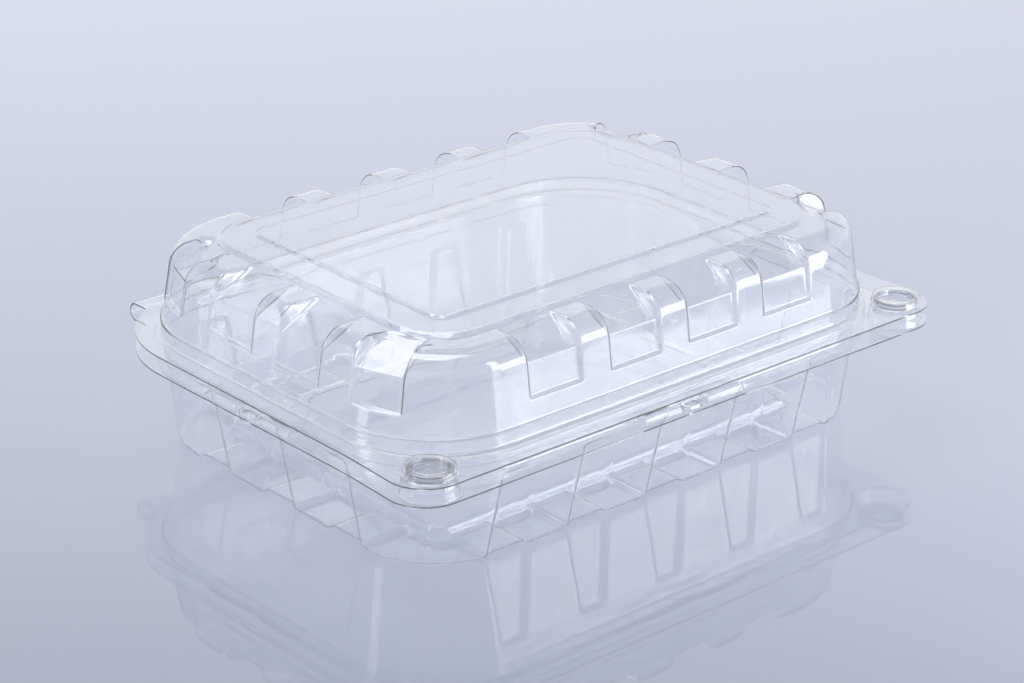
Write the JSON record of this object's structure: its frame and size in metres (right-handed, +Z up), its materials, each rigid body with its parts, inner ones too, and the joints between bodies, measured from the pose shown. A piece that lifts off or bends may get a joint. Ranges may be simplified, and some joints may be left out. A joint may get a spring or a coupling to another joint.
{
  "type": "plastic clamshell pack",
  "caption": "Hinged clear plastic clamshell pack: a fluted tray and a domed lid with recessed sides, joined along one long edge, with snap buttons on the front corners.",
  "frame": {"origin": "bottom centre of the overall box, at the height of the feet", "axes": "+X along the long sides, to the right as seen from the front; +Y from the front towards the hinge; +Z up"},
  "size_m": [0.191, 0.146, 0.06],
  "materials": {
    "clear_plastic": "clear and glossy"
  },
  "bodies": {
    "tray": {"tray": "clear_plastic"},
    "lid": {"lid": "clear_plastic"}
  },
  "joints": [
    {"name": "lid_hinge", "type": "hinge", "parent": "tray", "child": "lid", "pos_m": [0, 0.07305, 0.0306], "axis": [-1, 0, 0], "range_deg": [0, 180]}
  ]
}
